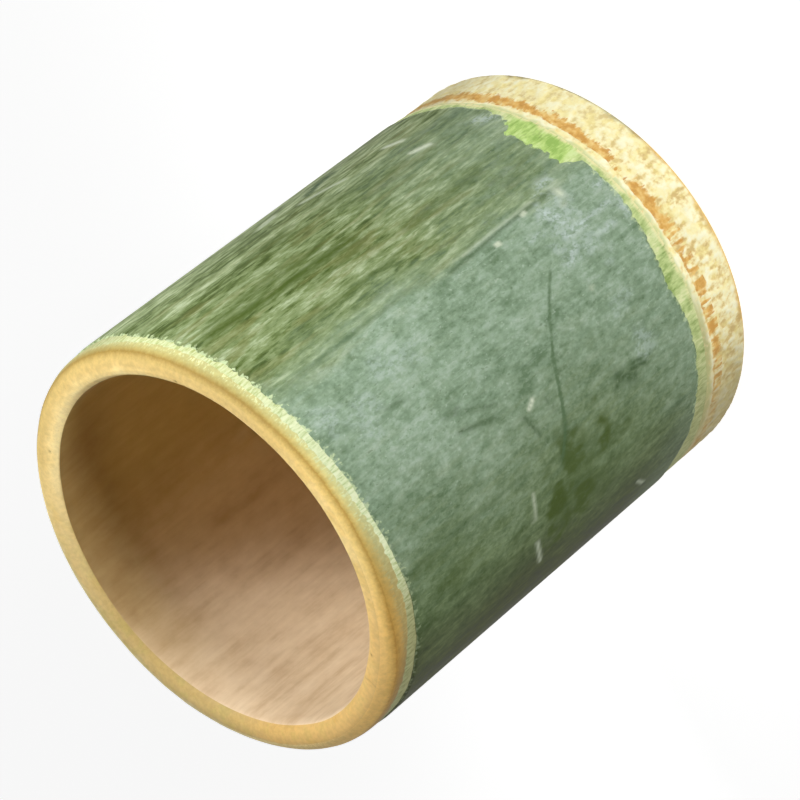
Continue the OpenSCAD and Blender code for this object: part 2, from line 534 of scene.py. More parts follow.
BLOOM_STROKES = [
    ([(13.9, 28.9), (9.7, 27.3)], 1.2, 1.0),
    ([(6.4, 29.1), (6.3, 24.4)], 1.0, 0.95),
    ([(6.5, 24.2), (6.5, 16)], 0.6, 0.6),
    ([(0.8, 32.1), (3.2, 29.2)], 1.1, 0.8),
    ([(1.8, 22.7), (1.9, 19.2)], 0.7, 0.6),
    ([(10.7, 35.4), (10.4, 31.8)], 0.7, 0.5),
    ([(20.5, 25.3), (20.5, 22.7)], 0.9, 0.7),
    ([(11.5, 16.5), (11.7, 15.2)], 0.7, 0.8),
    ([(4.5, 15.3), (1.5, 15.2)], 0.8, 0.7),
    ([(12.9, 30.8), (17.1, 28.7)], 0.7, 0.6),
    ([(46, 15.4), (48.5, 17.6)], 1.4, 0.7),
]


def strokes_mask(turn, z, strokes):
    """Where strokes lie, each as (points, width, strength)."""
    mask = np.zeros(z.shape)
    for points, width, strength in strokes:
        gap = line_distance(*unrolled(turn, z), [unrolled(*point) for point in points])
        mask = np.maximum(mask, strength * np.exp(-((gap / width) ** 2)))
    return mask


def blots_mask(turn, z, blots, seed):
    """Where oval blots with a ragged border lie, each as (centre, half turn, half height, strength)."""
    mask = np.zeros(z.shape)
    for centre, half_turn, half_height, strength in blots:
        away = np.hypot((turn - centre[0]) / half_turn, (z - centre[1]) / half_height)
        fray = wall_noise(turn, z, 130, 2.5, seed) + 0.5 * wall_noise(turn, z, 300, 1.2, seed + 1)
        mask = np.maximum(mask, strength * (1 - step(away + FRAY * fray, 0.35, 1.15)))
        seed += 2
    return mask


def olive_zone(turn, z):
    """Where the bloom is rubbed off in streaks, with a sharp edge along one line of the culm."""
    wander = 1.6 * wall_noise(turn, z, 24, 9, 51) + 1.0 * wall_noise(turn, z, 160, 14, 52)
    sharp = 0.15 + 0.5 * (1 - step(z, 46, 64))
    front = sharp * step(turn + wander, 15, 18) + (1 - sharp) * step(turn + 2 * wander, 8, 34)
    front = front * (1 - step(turn + 3 * wander, 95, 120))
    back = window(turn + 3 * wander, -175, -150, -110, -85)
    low_bloom = np.maximum(0.5 + 0.5 * step(z + 3 * wander, 18, 60), step(turn, 54, 64))
    return np.maximum(front, 0.7 * back) * low_bloom


def side_zone(turn, z):
    """Where the skin has little bloom and is a plain darker green, partly real and partly painted shade on
    that side.
    """
    wander = 4 * wall_noise(turn, z, 14, 14, 55) + 2 * wall_noise(turn, z, 150, 12, 56)
    foot_bloom = 0.5 + 0.5 * step(z + 2 * wander, 16, 40)
    return window(turn + wander, -150, -105, -58, 6) * foot_bloom


def brown_zone(turn, z):
    """Where the skin darkens to a brownish olive on one side: mostly painted shade, with some real olive
    brown.
    """
    wander = 4 * wall_noise(turn, z, 12, 20, 57) + 2 * wall_noise(turn, z, 120, 14, 58)
    foot_bloom = 0.6 + 0.4 * step(z + 2 * wander, 16, 40)
    return window(turn + wander, -135, -100, -76, -44) * foot_bloom


def lime_zone(turn, z):
    """Where the bark at the node is a bright yellow green."""
    return window(turn, 19, 23, 40, 44) * (1 - step(z, 24, 28))


# Where a look changes round the culm, as a share and the turns where it starts, is full, fades and ends
ZONES = {
    # Skin: a paler olive, and painted shadow along the lower edge where the skin stands over the bark
    "faded": [(0.7, 50, 68, 90, 115)],
    "edge_shadow": [(0.55, -80, -60, -4, 6)],
    # Bark: duller at the mouth and at the node, partly painted shade on the node's dark side, and yellower
    # and darker at the mouth on the lamp side, partly painted shade
    "muted_mouth": [(1, -140, -110, -48, -24), (0.7, 60, 78, 125, 150)],
    "muted_node": [(0.85, -140, -110, -62, -20)],
    "lit_side_shade": [(1, 8, 30, 95, 125)],
    # Woods of the lip: brown and painted shade, a deeper tan that is painted shade, painted shade darkest on
    # the shoulder, more orange and greyer
    "brown_and_shade": [(0.85, -150, -110, -38, -4)],
    "shaded_tan": [(0.9, -10, 30, 118, 148)],
    "shoulder_shade": [(1, -140, -110, -64, -40), (0.55, 52, 76, 128, 150)],
    "warm": [(1, -140, -118, -48, -22)],
    "shade": [(0.85, 125, 160, 240, 285)],
    # Lining: painted shade, darker and more ochre on the hollow's shaded side, and darker still next to the
    # lip
    "hollow_shade": [(1, 60, 100, 138, 190)],
    "lining_mouth_shade": [(0.8, 95, 130, 170, 220)],
    # Node, leaf scar and foot: smoother, duller, greener, in strands and with a grey edge, with partly
    # painted shade on the node's dark side
    "calm": [(0.9, 8, 28, 110, 140)],
    "dull": [(0.75, -140, -100, -66, -30), (0.35, 54, 74, 95, 125)],
    "dull_scar": [(0.75, -140, -100, -66, -30), (0.5, 54, 74, 95, 125)],
    "dark_node": [(1, -140, -100, -40, -18)],
    "strands": [(1, -66, -54, -14, -4)],
    "grey": [(1, 8, 22, 70, 90)],
}


def zone(name, turn):
    """How far a zone's look reaches, from 0 to 1."""
    reach = np.zeros(turn.shape)
    for share, low, rise, fall, high in ZONES[name]:
        reach = np.maximum(reach, share * window((turn - low) % 360, 0, rise - low, fall - low, high - low))
    return reach


# How much torn hair the skin's two edges have, as (turn, share) points
TOP_FRINGE = [(-180, 0.7), (-90, 0.25), (-40, 0.3), (-25, 0.6), (0, 0.8), (30, 0.9), (60, 0.7), (90, 0.8)]
LOW_FRINGE = [(-180, 0.5), (-70, 0.3), (-20, 0.4), (15, 0.6), (22, 1.0), (42, 1.0), (50, 0.5), (90, 0.4)]


def scratch_offset(turn, z):
    """How far above the long scratch a place is, and where the scratch runs."""
    places, heights = zip(*LONG_SCRATCH)
    offset = np.clip(z - np.interp(turn, places, heights), -4, 4)
    return offset, window(turn, places[0] - 1, places[0] + 1, places[-1] - 2, places[-1] + 1)


# Materials
def srgb(red, green, blue):
    """A screen colour from 0 to 255 as the shader's own linear colour."""
    screen = np.array([red, green, blue]) / 255
    linear = np.where(screen <= 0.04045, screen / 12.92, ((screen + 0.055) / 1.055) ** 2.4)
    return (*linear.tolist(), 1.0)


# How far each axis of a noise moves for one step of its shift
NOISE_SHIFT = (7.3, 3.1, 5.7)


class Shader:
    """A material's node tree, with a short method for each kind of node."""

    def __init__(self, name, roughness=0.6, specular=0.35):
        self.material = bpy.data.materials.new(name)
        self.material.use_nodes = True
        self.tree = self.material.node_tree
        self.surface = self.tree.nodes["Principled BSDF"]
        self.place = self.tree.nodes.new("ShaderNodeTexCoord").outputs["Object"]
        self.colour = None
        self.surface.inputs["Roughness"].default_value = roughness
        self.surface.inputs["Specular IOR Level"].default_value = specular

    def put(self, value, socket):
        """Links a socket, or sets it where the value is a number or a colour."""
        if isinstance(value, bpy.types.NodeSocket):
            self.tree.links.new(value, socket)
        else:
            socket.default_value = value

    def add(self, kind, **inputs):
        """A new node with some inputs, each named with _ for a space."""
        node = self.tree.nodes.new("ShaderNode" + kind)
        for name, value in inputs.items():
            self.put(value, node.inputs[name.replace("_", " ")])
        return node

    def noise(self, across, along, detail=4, rough=0.55, shift=0):
        """Noise with cells of a size in millimetres across the culm and along it."""
        scale = (1 / (across * MM), 1 / (across * MM), 1 / (along * MM))
        location = [shift * axis for axis in NOISE_SHIFT]
        place = self.add("Mapping", Vector=self.place, Scale=scale, Location=location).outputs["Vector"]
        return self.add("TexNoise", Vector=place, Scale=1, Detail=detail, Roughness=rough).outputs["Fac"]

    def mask(self, name):
        """A mask that the mesh holds."""
        node = self.add("Attribute")
        node.attribute_name = name
        return node.outputs["Fac"]

    def math(self, kind, first, second=0.0):
        node = self.add("Math")
        node.operation = kind
        self.put(first, node.inputs[0])
        self.put(second, node.inputs[1])
        return node.outputs["Value"]

    def times(self, first, second):
        return self.math("MULTIPLY", first, second)

    def sum(self, *weighted):
        """Values added up, each as (value, weight)."""
        total = None
        for value, weight in weighted:
            part = self.times(value, weight)
            total = part if total is None else self.math("ADD", total, part)
        return total

    def broken(self, mask, texture, low, high):
        """A mask that shows more where a texture is high."""
        return self.times(self.mask(mask), self.range(texture, low, high, 0.15, 1.0))

    def range(self, value, low, high, to_low=0.0, to_high=1.0):
        """A smooth change from one number to another as a value goes from low to high."""
        node = self.add("MapRange", Value=value, From_Min=low, From_Max=high, To_Min=to_low, To_Max=to_high)
        node.interpolation_type = "SMOOTHSTEP"
        return node.outputs["Result"]

    def ramp(self, value, *stops):
        """Colours at places from 0 to 1, each as (place, red, green, blue)."""
        node = self.add("ValToRGB", Fac=value)
        colours = node.color_ramp.elements
        while len(colours) < len(stops):
            colours.new(0.5)
        for element, (place, *colour) in zip(colours, stops):
            element.position = place
            element.color = srgb(*colour)
        return node.outputs["Color"]

    def mix(self, share, first, second, kind="MIX"):
        """One colour over another, by a share or by the name of a mask."""
        if isinstance(share, str):
            share = self.mask(share)
        node = self.add("Mix")
        node.data_type = "RGBA"
        node.blend_type = kind
        colours = [socket for socket in node.inputs if socket.type == "RGBA"]
        self.put(share, node.inputs[0])
        self.put(first, colours[0])
        self.put(second, colours[1])
        return [socket for socket in node.outputs if socket.type == "RGBA"][0]

    def lay(self, share, colour, kind="MIX"):
        """Lays a colour over the one so far."""
        self.colour = self.mix(share, self.colour, colour, kind)

    def bump(self, height, depth, strength=1.0):
        """Relief of a depth in millimetres."""
        node = self.add("Bump", Height=height, Distance=depth * MM, Strength=strength)
        self.tree.links.new(node.outputs["Normal"], self.surface.inputs["Normal"])

    def finish(self, roughness=None):
        """The material with the colour so far."""
        self.put(self.colour, self.surface.inputs["Base Color"])
        if roughness is not None:
            self.put(roughness, self.surface.inputs["Roughness"])
        return self.material


def skin_material():
    """Waxy green skin: a grey bloom, rubbed off in olive streaks, with scratches, flecks and torn edges."""
    s = Shader("bamboo_skin", specular=0.05)
    cloud = s.noise(10, 22, detail=3)
    patch = s.noise(2.6, 4.5, shift=1)
    flake = s.noise(0.8, 1.3, rough=0.6, shift=6)
    streak = s.noise(0.9, 8, rough=0.6, shift=2)
    dash = s.noise(1.0, 3.8, rough=0.6, shift=3)
    wide = s.noise(3.2, 40, detail=3, shift=4)
    scuff = s.noise(1.7, 5, rough=0.65, shift=5)
    crust = s.noise(1.0, 1.5, detail=5, rough=0.7, shift=11)
    scale = s.range(s.noise(1.2, 1.9, detail=3, rough=0.6, shift=14), 0.47, 0.55)
    chip = s.range(s.noise(0.8, 4.5, detail=3, rough=0.6, shift=15), 0.46, 0.56)

    mottle = s.sum((cloud, 0.2), (patch, 0.28), (flake, 0.24), (streak, 0.24), (scale, 0.04))
    bloom = s.ramp(mottle, (0.38, 104, 127, 98), (0.5, 138, 160, 134), (0.62, 166, 184, 165))
    light_fleck = s.range(s.noise(0.5, 0.8, detail=1, shift=7), 0.68, 0.76, 0.0, 0.45)
    dark_fleck = s.range(s.noise(0.55, 1.2, detail=1, shift=8), 0.68, 0.76, 0.0, 0.5)
    pale_line = s.range(s.noise(0.3, 5, detail=1, shift=9), 0.66, 0.76, 0.0, 0.3)
    bloom = s.mix(light_fleck, bloom, srgb(180, 196, 176))
    bloom = s.mix(dark_fleck, bloom, srgb(90, 112, 80))
    bloom = s.mix(pale_line, bloom, srgb(168, 186, 164))
    # Darker green where the bloom is thin, and brownish olive on one side: both partly painted shade
    side = s.ramp(mottle, (0.38, 64, 84, 40), (0.5, 95, 113, 74), (0.62, 121, 139, 101))
    brown = s.ramp(mottle, (0.38, 42, 46, 12), (0.5, 63, 68, 28), (0.62, 84, 91, 46))
    lines = s.sum((streak, 0.24), (dash, 0.24), (scuff, 0.19), (wide, 0.28), (chip, 0.05))
    olive = s.ramp(
        lines, (0.4, 66, 82, 32), (0.46, 104, 121, 70), (0.53, 136, 152, 106), (0.6, 170, 184, 146),
    )
    rust = s.range(s.noise(2, 14, detail=3, shift=10), 0.5, 0.66, 0.0, 0.4)
    olive = s.mix(rust, olive, srgb(122, 122, 70))
    faded = s.ramp(lines, (0.41, 84, 98, 50), (0.5, 140, 156, 110), (0.59, 184, 195, 156))
    olive = s.mix("faded", olive, faded)

    rough_edge = s.sum((streak, 0.5), (scuff, 0.5))
    s.colour = s.mix(s.range(s.sum((s.mask("side"), 1.0), (rough_edge, 1.0)), 0.45, 1.55), bloom, side)
    s.lay("brown", brown)
    s.lay(s.range(s.sum((s.mask("olive"), 1.0), (rough_edge, 1.0)), 0.45, 1.55), olive)
    s.lay(s.broken("bloom_patch", crust, 0.42, 0.56), srgb(188, 203, 196))
    s.lay(s.broken("streaks", scuff, 0.25, 0.5), srgb(72, 90, 34))
    s.lay(s.broken("rub", flake, 0.15, 0.5), srgb(66, 83, 27))
    s.lay(s.broken("dark", flake, 0.3, 0.55), srgb(64, 86, 52))
    beside = s.sum((s.math("ABSOLUTE", s.mask("scratch")), 1.0), (flake, 0.8))
    worn = s.range(patch, 0.35, 0.6, 0.45, 0.8)
    scratch = s.times(s.range(beside, 1.15, 0.5), s.times(s.mask("scratch_on"), worn))
    s.lay(scratch, srgb(80, 104, 70))
    s.lay(s.broken("pale", flake, 0.2, 0.45), srgb(206, 215, 190))
    # Painted shadow along the skin's lower edge, on the darker side
    s.lay("edge_shadow", srgb(80, 102, 56))
    hair = s.noise(0.8, 1.1, detail=3, rough=0.6, shift=12)
    torn = s.range(s.sum((hair, 1.0), (s.mask("edge_gap"), -0.17)), 0.42, 0.54)
    hair_colour = s.mix("lime", srgb(202, 217, 170), srgb(178, 206, 124))
    s.lay(s.times(torn, s.mask("fringe")), hair_colour)
    fine = s.noise(0.35, 0.9, detail=3, rough=0.6, shift=13)
    s.lay(1.0, s.range(fine, 0.3, 0.7, 0.94, 1.05), "MULTIPLY")
    s.bump(s.sum((fine, 0.5), (flake, 0.7)), 0.06, 0.5)
    return s.finish(s.range(mottle, 0.37, 0.63, 0.5, 0.64))


def bark_material():
    """Pale bark under the skin: cream green at the mouth, greener at the node, torn along the grain."""
    s = Shader("under_bark", roughness=0.75, specular=0.1)
    torn = s.noise(0.4, 2.0, rough=0.6)
    soft = s.noise(2.2, 4, detail=3, shift=1)
    mouth = s.ramp(torn, (0.36, 180, 196, 138), (0.46, 209, 220, 171), (0.6, 225, 232, 193))
    # Yellower and darker bark on the lamp side of the mouth: partly real, partly painted shade
    lit_side_shade = s.ramp(torn, (0.36, 170, 181, 112), (0.46, 196, 205, 148), (0.6, 213, 219, 173))
    mouth = s.mix("lit_side_shade", mouth, lit_side_shade)
    green = s.sum((torn, 0.35), (soft, 0.65))
    node = s.ramp(
        green, (0.38, 140, 164, 92), (0.48, 184, 202, 134), (0.56, 207, 219, 155), (0.64, 228, 231, 180),
    )
    s.colour = s.mix("node_end", mouth, node)
    lime = s.ramp(green, (0.4, 154, 190, 98), (0.5, 190, 218, 128), (0.6, 212, 232, 160))
    s.lay(s.broken("lime", torn, 0.2, 0.45), lime)
    # Duller grey green on two sides, partly painted shade on the node's dark side
    muted = s.ramp(torn, (0.38, 138, 140, 91), (0.58, 171, 172, 125))
    s.lay("muted", muted)
    s.lay(s.broken("cream", torn, 0.3, 0.5), srgb(240, 233, 176))
    s.bump(torn, 0.12, 0.7)
    return s.finish()


# What turns the lip's wood more orange, as shares of red, green and blue
WARM_TINT = (1.07, 0.95, 0.82, 1)

# Painted shade that darkens the lip's outer shoulder, in the same shares
SHOULDER_SHADE_TINT = (0.6, 0.58, 0.54, 1)


def lip_grain(s):
    """Fine light and dark of sanded wood, the same in both woods of the lip."""
    return s.range(s.noise(0.9, 0.9, rough=0.6, shift=6), 0.32, 0.68, 0.91, 1.06)


def dense_wood_material():
    """Dense outer wood on the lip's shoulder: pale yellow outside, then a thin brown line, then tan."""
    s = Shader("dense_wood", roughness=0.6, specular=0.15)
    fibre = s.noise(0.35, 1.2, rough=0.6)
    blotch = s.noise(3, 3, detail=3, shift=1)
    place = s.sum((s.mask("outward"), 1.0), (blotch, 0.06), (fibre, 0.16))
    s.colour = s.ramp(
        place,
        (0.02, 246, 215, 141), (0.18, 238, 207, 128), (0.34, 212, 178, 100), (0.41, 190, 152, 76),
        (0.46, 208, 180, 100), (0.55, 222, 204, 128), (0.65, 217, 210, 140), (0.8, 210, 211, 150),
    )
    # Painted shade: a deeper tan over the lip's shoulder on one side
    shaded_tan = s.ramp(
        place,
        (0.05, 208, 180, 112), (0.15, 197, 170, 103), (0.25, 183, 156, 90), (0.37, 156, 128, 61),
        (0.45, 170, 151, 85), (0.68, 193, 187, 124),
    )
    s.lay("shaded_tan", shaded_tan)
    # Brown on one side of the shoulder: partly real brown, partly painted shade
    brown_and_shade = s.times(s.mask("brown_and_shade"), s.range(place, 0.36, 0.5))
    brown = s.ramp(
        s.sum((place, 1.0), (fibre, 0.4)),
        (0.6, 210, 173, 93), (0.76, 198, 164, 88), (0.94, 176, 149, 84), (1.0, 160, 144, 88),
    )
    s.lay(brown_and_shade, brown)
    hairy = s.times(s.range(fibre, 0.52, 0.6), s.range(s.mask("brown_and_shade"), 0.1, 0.6, 1.0, 0.15))
    s.lay(s.times(hairy, s.range(place, 0.54, 0.78)), srgb(218, 222, 168))
    # Painted shade on the lip's outer shoulder, on two sides
    shoulder_shade = s.times(s.mask("shoulder_shade"), s.range(place, 0.3, 0.55))
    s.lay(shoulder_shade, SHOULDER_SHADE_TINT, "MULTIPLY")
    # Painted shade from the top of the lip, carried onto the inner edge of the dense wood
    inner = s.times(s.mask("shady"), s.range(place, 0.12, -0.15))
    s.lay(inner, srgb(210, 182, 118))
    s.lay("shade", s.ramp(fibre, (0.4, 196, 184, 132), (0.6, 216, 208, 164)))
    s.lay("warm", WARM_TINT, "MULTIPLY")
    s.lay(1.0, lip_grain(s), "MULTIPLY")
    s.bump(fibre, 0.08, 0.6)
    return s.finish()


def soft_wood_material():
    """Sanded inner wood on top of the lip: tan, with the cut ends of its fibres as faint dots."""
    s = Shader("soft_wood", roughness=0.55, specular=0.2)
    blotch = s.noise(4, 4, rough=0.5)
    dots = s.noise(0.3, 0.9, detail=2, shift=1)
    place = s.sum((s.mask("outward"), 0.8), (blotch, 0.5))
    s.colour = s.ramp(place, (0.22, 253, 228, 163), (0.5, 249, 220, 150), (0.85, 238, 206, 132))
    gold = s.range(s.noise(5, 5, detail=3, shift=2), 0.5, 0.66, 0.0, 0.5)
    s.lay(gold, srgb(230, 193, 106))
    # Painted shade: a deeper tan over the top of the lip on one side
    shaded_tan = s.ramp(
        place,
        (0.3, 254, 231, 166), (0.46, 250, 222, 150), (0.55, 234, 205, 134), (0.63, 224, 194, 124),
        (0.7, 214, 185, 116), (0.85, 208, 180, 112),
    )
    s.lay("shaded_tan", shaded_tan)
    # Painted shade: a darker, duller tan over the top of the lip on the far side, with an olive tint
    shady = s.ramp(place, (0.33, 181, 153, 93), (0.57, 181, 155, 99), (0.8, 187, 175, 136))
    olive_tint = s.range(s.noise(2.6, 2.6, detail=3, shift=5), 0.48, 0.62, 0.0, 0.6)
    shady = s.mix(olive_tint, shady, srgb(170, 152, 86))
    s.lay("shady", shady)
    s.lay(s.range(dots, 0.6, 0.74, 0.0, 0.3), srgb(206, 166, 96))
    s.lay("warm", WARM_TINT, "MULTIPLY")
    s.lay(1.0, lip_grain(s), "MULTIPLY")
    s.lay("fault", srgb(120, 86, 40))
    s.bump(dots, 0.02, 0.3)
    return s.finish()


def lining_material(name):
    """Smooth lining of the hollow, with faint lengthwise streaks, and painted shade that makes it darker on
    one side.
    """
    s = Shader(name, roughness=0.65, specular=0.15)
    streak = s.noise(0.9, 20)
    wide = s.noise(5, 60, detail=3, shift=1)
    fine = s.noise(0.3, 6, detail=3, shift=2)
    spots = s.noise(2.5, 5, shift=3)
    tone = s.sum((streak, 0.16), (wide, 0.38), (fine, 0.08), (spots, 0.38))
    s.colour = s.ramp(tone, (0.38, 204, 177, 142), (0.5, 221, 197, 163), (0.62, 232, 210, 178))
    # Painted shade: a darker, more ochre lining on the hollow's shaded side, then darker still next to the
    # lip
    s.lay("hollow_shade", s.ramp(tone, (0.38, 191, 164, 101), (0.62, 206, 181, 117)))
    s.lay("shade", s.ramp(tone, (0.38, 164, 134, 82), (0.62, 182, 154, 102)))
    s.bump(s.sum((streak, 0.6), (fine, 0.4)), 0.02, 0.25)
    return s.finish()


def cream_wood(s):
    """Shaved cream wood: torn ridges with tan hollows, partly painted shade, or a calmer face. Gives its
    colour and its fibres.
    """
    fibre = s.noise(0.95, 1.25, detail=3)
    tint = s.noise(1.8, 2.6, detail=3, shift=1)
    height = s.sum((s.mask("relief"), 0.3), (fibre, 0.7))
    torn = s.ramp(
        height,
        (0.36, 216, 188, 126), (0.44, 238, 218, 158), (0.52, 251, 242, 192), (0.62, 254, 250, 214),
    )
    calm = s.ramp(height, (0.36, 226, 208, 150), (0.48, 247, 236, 182), (0.62, 253, 249, 210))
    cream = s.mix("calm", torn, calm)
    return s.mix(s.range(tint, 0.46, 0.62, 0.0, 0.5), cream, srgb(250, 235, 158)), fibre


def node_material(name):
    """Shaved wood of the node and the foot: golden along the worn bottom edge or grey in part of it, and
    green next to the bark.
    """
    s = Shader(name, roughness=0.75, specular=0.1)
    cream, fibre = cream_wood(s)
    worn = s.ramp(fibre, (0.38, 192, 146, 72), (0.6, 226, 190, 114))
    worn = s.mix("grey", worn, s.ramp(fibre, (0.38, 112, 104, 70), (0.6, 160, 150, 112)))
    s.colour = s.mix(s.broken("worn", fibre, 0.3, 0.5), cream, worn)
    s.lay(s.broken("green", fibre, 0.3, 0.5), srgb(202, 210, 148))
    s.lay("dull", srgb(156, 143, 98))
    s.bump(fibre, 0.15, 0.7)
    return s.finish()


def scar_material():
    """Ring of the leaf scar: orange fibres that run down over cream wood."""
    s = Shader("leaf_scar", roughness=0.8, specular=0.1)
    cream, fibre = cream_wood(s)
    strand = s.noise(0.55, 2.2, detail=3, rough=0.6, shift=3)
    clump = s.noise(1.5, 1.6, detail=2, shift=4)
    orange = s.ramp(clump, (0.36, 238, 202, 126), (0.5, 226, 176, 94), (0.62, 208, 152, 72))
    halo = s.range(s.sum((s.mask("patch"), 1.0), (clump, 0.8)), 0.55, 1.35, 0.0, 0.7)
    edge = s.range(s.sum((s.mask("patch"), 1.0), (strand, 2.8), (clump, 1.6)), 2.35, 2.95, 0.0, 0.9)
    s.colour = s.mix(halo, cream, srgb(238, 206, 134))
    s.lay(edge, orange)
    s.lay("dull", srgb(158, 137, 89))
    s.bump(fibre, 0.18, 0.8)
    return s.finish()


def floor_wood_material():
    """Cross wall of the node: pale pith with faint rings and a rough face."""
    s = Shader("node_floor", roughness=0.8, specular=0.15)
    pith = s.noise(1.4, 1.4, detail=5, rough=0.65)
    wide = s.noise(9, 9, detail=3, shift=1)
    tone = s.sum((pith, 0.5), (wide, 0.5))
    s.colour = s.ramp(tone, (0.3, 168, 132, 88), (0.5, 206, 174, 126), (0.7, 226, 200, 156))
    s.lay(s.range(s.mask("ring"), 0.2, 0.9, 0.0, 0.14), srgb(150, 112, 66))
    s.bump(pith, 0.2, 0.6)
    return s.finish()


# Pieces
def ring(name, node, material, r, z, hidden, masks=None):
    """A dressed ring of the rows that show and of hidden rows, as (radius, height), that close it behind."""
    hidden_r, hidden_z = zip(*hidden)
    nearest = np.repeat([-1, 0], len(hidden) // 2)
    masks = {mask: np.concatenate([values, values[nearest]]) for mask, values in (masks or {}).items()}
    all_r = np.concatenate([r, rows_of(*hidden_r)])
    all_z = np.concatenate([z, rows_of(*hidden_z)])
    dress(turned_piece(name, all_r, all_z, len(z), masks), node, material)


# How far a piece's hidden rows lie below the edge where it meets the next one, and under its face
SUNK = 1.5
UNDERLAP = 0.03


def make_skin():
    edge_steps = np.array([0.0, 0.15, 0.35, 0.65])[:, None]
    below_marks = spread(skin_low_edge + 1.0, 26, 9)
    marks = spread(26.7, 62.3, 50)
    above_marks = spread(63.4, skin_top_edge - 1.0, 21)
    z = np.concatenate([
        skin_low_edge + edge_steps, below_marks, marks, above_marks, skin_top_edge - edge_steps[::-1],
    ])
    turn = turns_of(z)
    edge = np.minimum(z - skin_low_edge, skin_top_edge - z)
    # Painted shadow under the skin's lower edge: how high above that edge a place is, a little ragged
    edge_shadow_height = z - skin_low_edge + 0.3 * wall_noise(turn, z, 220, 1, 41)
    masks = {
        "olive": olive_zone(turn, z),
        "side": side_zone(turn, z),
        "brown": brown_zone(turn, z),
        "faded": zone("faded", turn) * (0.3 + 0.7 * step(z, 18, 40) - 0.5 * step(z, 76, 88)),
        "streaks": strokes_mask(turn, z, STREAK_STROKES),
        "bloom_patch": np.maximum(blots_mask(turn, z, BLOOM_BLOTS, 61), strokes_mask(turn, z, BLOOM_STROKES)),
        "rub": blots_mask(turn, z, RUB_BLOTS, 71),
        "dark": strokes_mask(turn, z, DARK_STROKES),
        "pale": np.maximum(strokes_mask(turn, z, PALE_STROKES), blots_mask(turn, z, PALE_BLOTS, 101)),
        "edge_shadow": zone("edge_shadow", turn) * (1 - step(edge_shadow_height, 0.1, 0.8)),
        "edge_gap": np.minimum(edge, 4),
        "fringe": np.where(z > LIP_Z / 2, through(turn, TOP_FRINGE), through(turn, LOW_FRINGE)),
        "lime": lime_zone(turn, z),
    }
    masks["scratch"], masks["scratch_on"] = scratch_offset(turn, z)
    full = CULM_R - BARK_R
    least = 0.28
    thickness = full * (least + (1 - least) * step(edge, 0, 0.7))
    scratch = np.exp(-((masks["scratch"] / 0.5) ** 2)) * masks["scratch_on"]
    grooves = 0.08 * scratch + 0.05 * masks["rub"] + 0.04 * masks["pale"]
    grain = 0.02 * lifted(wall_noise(turn, z, 260, 20, 42)) + 0.04 * lifted(wall_noise(turn, z, 9, 45, 43))
    r = BARK_R + np.maximum(0.04, thickness - grooves - grain)
    under = BARK_R - UNDERLAP
    hidden = [(under, skin_top_edge), (under, skin_low_edge)]
    ring("skin_shell", "green_skin", skin_material(), r, z, hidden, masks)


def make_bark():
    node_rows = spread(NODE_TOP, 20, 18)
    covered_rows = spread(23, 90, 5)
    mouth_rows = spread(91.5, LIP_Z - LIP_OUTER_R - 3, 4)
    wall_z = np.concatenate([node_rows, covered_rows, mouth_rows])
    torn = 0.06 * lifted(wall_noise(turns_of(wall_z), wall_z, 300, 2.5, 111, straight))
    runs = spread(lip_shoulder - 2.6, bark_end_edge, 14)
    lip_r, lip_z = lip_surface(runs, turns_of(runs))
    r = np.concatenate([BARK_R - torn, lip_r])
    z = np.concatenate([wall_z, lip_z])
    turn = turns_of(z)
    above_node = z + 0.5 * wall_noise(turn, z, 150, 2, 112) - NODE_TOP
    masks = {
        "node_end": 1 - step(z, 30, 60),
        "lime": lime_zone(turn, z),
        # Duller bark, partly painted shade on the node's dark side, and yellower, darker bark on the lamp
        # side, partly painted shade
        "muted": np.where(z > LIP_Z / 2, zone("muted_mouth", turn), zone("muted_node", turn)),
        "lit_side_shade": zone("lit_side_shade", turn),
        "cream": step(turn, -40, -8) * (1 - step(above_node, 0, 0.8)),
    }
    hidden = [(FIBRE_R, lip_z[-1] - SUNK), (FIBRE_R, NODE_TOP)]
    ring("bark_layer", "under_bark", bark_material(), r, z, hidden, masks)


# Painted shade on the top of the lip: where it is a darker, duller tan, as (turn, share) points
SHADY_LIP = [
    (-180, 0.9), (-165, 0.93), (-140, 0.93), (-110, 0.8), (-75, 0.65), (-50, 0.5), (-30, 0.2), (-15, 0.0),
    (120, 0.0), (155, 0.65),
]

# How far the brown line on the lip's shoulder lies out of its usual place, as (turn, share of 5 mm) points
BROWN_LINE = [
    (-180, 0.1), (-100, 0.3), (-60, 0.34), (-40, 0.14), (-20, 0.06), (0, -0.02), (40, -0.02), (60, 0.08),
    (80, 0.13),
]


def lip_layer(name, node, material, runs, outer_r, inner_r):
    """A ring that shows at some runs over the lip, and hides down to the node between two radii."""
    turn = turns_of(runs)
    r, z = lip_surface(runs, turn)
    # Looks that change round the lip: the deeper tan and the shoulder's darkening are painted shade, the
    # brown partly
    masks = {look: zone(look, turn) for look in ("brown_and_shade", "shaded_tan", "shoulder_shade", "warm", "shade")}
    masks["outward"] = (runs[-1] - runs) / 5 - through(turn, BROWN_LINE)
    masks["fault"] = np.clip(lip_faults(turn, r) / DARK_FAULT, 0, 1)
    masks["shady"] = through(turn, SHADY_LIP)
    hidden = [(inner_r, z[-1] - SUNK), (inner_r, NODE_TOP), (outer_r, NODE_TOP), (outer_r, z[0] - SUNK)]
    ring(name, node, material, r, z, hidden, masks)


def make_lip():
    dense_runs = spread(bark_end_edge, fibre_end_edge, 18)
    soft_runs = spread(fibre_end_edge, wood_end_edge, 30)
    dense = dense_wood_material()
    soft = soft_wood_material()
    lip_layer("dense_wood_ring", "outer_fibre_wall", dense, dense_runs, FIBRE_R, WOOD_R)
    lip_layer("soft_wood_ring", "inner_wall", soft, soft_runs, WOOD_R, LINING_R)


